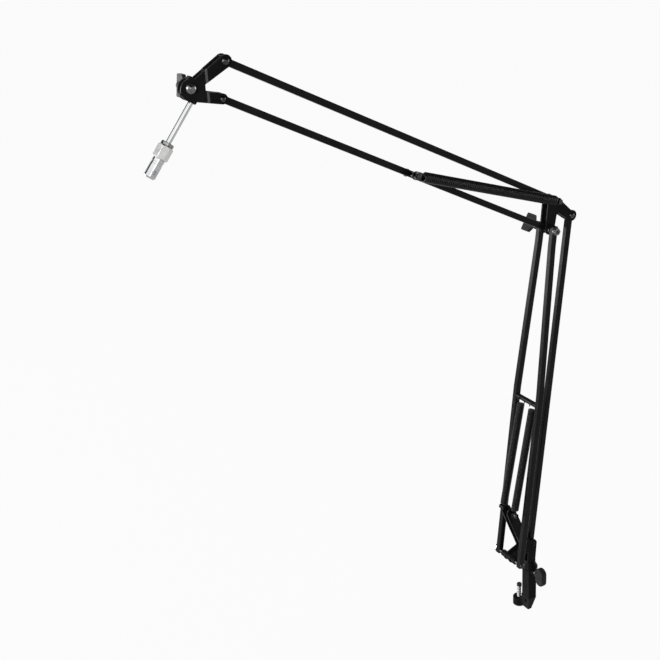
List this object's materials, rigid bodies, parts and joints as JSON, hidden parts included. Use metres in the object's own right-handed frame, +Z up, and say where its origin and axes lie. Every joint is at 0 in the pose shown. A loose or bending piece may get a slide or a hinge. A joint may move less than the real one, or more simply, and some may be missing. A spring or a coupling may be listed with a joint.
{
  "type": "microphone boom arm",
  "caption": "Spring-balanced boom arm of square black tube with a screw desk clamp, a pivoting head and a threaded microphone rod.",
  "frame": {"origin": "on the face that presses on the desk top, on the clamp screw's axis", "axes": "+Z up along the clamp screw, -X the way the arm points at rest, +Y the way the clamp's jaws point"},
  "size_m": [0.6903, 0.0938, 1.0337],
  "materials": {
    "black_paint": "satin",
    "black_casting": "satin, slightly grained",
    "black_spring": "satin",
    "black_hardware": "gloss",
    "black_plastic": "fine grained",
    "bright_steel": "turned",
    "bright_chrome": "polished",
    "pale_metal": "satin",
    "dark_rubber": "matt"
  },
  "bodies": {
    "clamp": {"clamp_frame": "black_casting"},
    "pad": {"clamp_pad": "dark_rubber"},
    "clamp_screw": {"clamp_screw": "bright_steel"},
    "lock_screw": {"lock_shank": "bright_steel", "lock_paddle": "black_plastic"},
    "base": {"base_spindle": "black_hardware", "base_yoke": "black_paint", "front_pivot_barrel": "black_hardware", "rear_pivot_rivet": "black_hardware", "spring_stubs": "black_hardware"},
    "front_pair": {"front_tube_left": "black_paint", "front_tube_right": "black_paint", "spring_crossbar": "black_hardware", "front_bolt": "black_hardware", "front_nut": "bright_steel", "front_sleeves": "black_hardware", "lower_spring_left": "black_spring", "lower_spring_right": "black_spring"},
    "rear_link": {"rear_tube": "black_paint"},
    "elbow": {"elbow_plate_left": "black_paint", "elbow_plate_right": "black_paint", "elbow_rear_rivet": "black_hardware", "elbow_bolt": "black_hardware", "elbow_nut": "black_hardware", "elbow_washers": "bright_steel", "elbow_top_bolt": "black_hardware", "elbow_top_nut": "black_hardware"},
    "elbow_wing": {"elbow_wing_nut": "black_plastic"},
    "upper_bottom": {"upper_tube_bottom": "black_paint", "spring_stud": "black_hardware", "spring_stud_nut": "black_hardware", "upper_spring": "black_spring"},
    "upper_top": {"upper_tube_top": "black_paint"},
    "head": {"head_plate_left": "black_paint", "head_plate_right": "black_paint", "head_top_rivet": "black_hardware", "head_lower_rivet": "black_hardware", "tilt_bolt": "black_hardware", "tilt_washer": "black_hardware"},
    "tilt_wing": {"tilt_wing_nut": "black_plastic"},
    "swivel": {"swivel_block": "black_hardware"},
    "rod": {"mic_rod": "bright_chrome", "lock_collar": "black_hardware", "thread_adapter": "bright_chrome"},
    "adapter_nut": {"adapter_nut": "pale_metal"}
  },
  "joints": [
    {"name": "base_swivel", "type": "hinge", "parent": "clamp", "child": "base", "pos_m": [0, -0.028, 0.022], "axis": [0, 0, 1], "continuous": true},
    {"name": "lower_arm_tilt", "type": "hinge", "parent": "base", "child": "front_pair", "pos_m": [-0.0434, -0.028, 0.044], "axis": [0, 1, 0], "range_deg": [-45, 20], "deforming": ["lower_spring_left", "lower_spring_right"]},
    {"name": "rear_link_tilt", "type": "hinge", "parent": "base", "child": "rear_link", "pos_m": [0, -0.028, 0.0586], "axis": [0, 1, 0], "range_deg": [-45, 20]},
    {"name": "elbow_level", "type": "hinge", "parent": "front_pair", "child": "elbow", "pos_m": [0.02539, -0.028, 0.62091], "axis": [0, 1, 0], "range_deg": [-20, 45]},
    {"name": "upper_arm_tilt", "type": "hinge", "parent": "elbow", "child": "upper_bottom", "pos_m": [0.02539, -0.028, 0.62091], "axis": [0, 1, 0], "range_deg": [-45, 35], "deforming": ["upper_spring"]},
    {"name": "upper_top_tilt", "type": "hinge", "parent": "elbow", "child": "upper_top", "pos_m": [0.03379, -0.028, 0.66651], "axis": [0, 1, 0], "range_deg": [-45, 35]},
    {"name": "head_level", "type": "hinge", "parent": "upper_bottom", "child": "head", "pos_m": [-0.50156, -0.028, 0.89289], "axis": [0, 1, 0], "range_deg": [-35, 45]},
    {"name": "mic_tilt", "type": "hinge", "parent": "head", "child": "swivel", "pos_m": [-0.54176, -0.028, 0.91059], "axis": [0, 1, 0], "range_deg": [-60, 100]},
    {"name": "rod_turn", "type": "hinge", "parent": "swivel", "child": "rod", "pos_m": [-0.56411, -0.028, 0.8646], "axis": [-0.6157, 0, -0.788], "range_deg": [-180, 180]},
    {"name": "adapter_nut_turn", "type": "hinge", "parent": "rod", "child": "adapter_nut", "pos_m": [-0.5875, -0.028, 0.83466], "axis": [-0.6157, 0, -0.788], "continuous": true},
    {"name": "elbow_wing_turn", "type": "hinge", "parent": "elbow", "child": "elbow_wing", "pos_m": [0.02539, 0.002, 0.62091], "axis": [0, 1, 0], "range_deg": [-180, 180]},
    {"name": "tilt_wing_turn", "type": "hinge", "parent": "head", "child": "tilt_wing", "pos_m": [-0.54176, -0.008, 0.91059], "axis": [0, 1, 0], "range_deg": [-180, 180]},
    {"name": "lock_screw_turn", "type": "hinge", "parent": "clamp", "child": "lock_screw", "pos_m": [0, -0.048, 0.0039], "axis": [0, 1, 0], "range_deg": [-180, 180]},
    {"name": "pad_slide", "type": "slide", "parent": "clamp", "child": "pad", "axis": [0, 0, 1], "range_m": [-0.0212, 0.0092]},
    {"name": "clamp_screw_turn", "type": "hinge", "parent": "pad", "child": "clamp_screw", "pos_m": [0, 0, -0.06], "axis": [0, 0, 1], "range_deg": [-6048, 2592]}
  ],
  "couplings": [
    {"joint": "rear_link_tilt", "follows": "lower_arm_tilt", "ratio": 1},
    {"joint": "elbow_level", "follows": "lower_arm_tilt", "ratio": -1},
    {"joint": "upper_top_tilt", "follows": "upper_arm_tilt", "ratio": 1},
    {"joint": "head_level", "follows": "upper_arm_tilt", "ratio": -1},
    {"joint": "pad_slide", "follows": "clamp_screw_turn", "m_per_rad": 0.00019894}
  ]
}
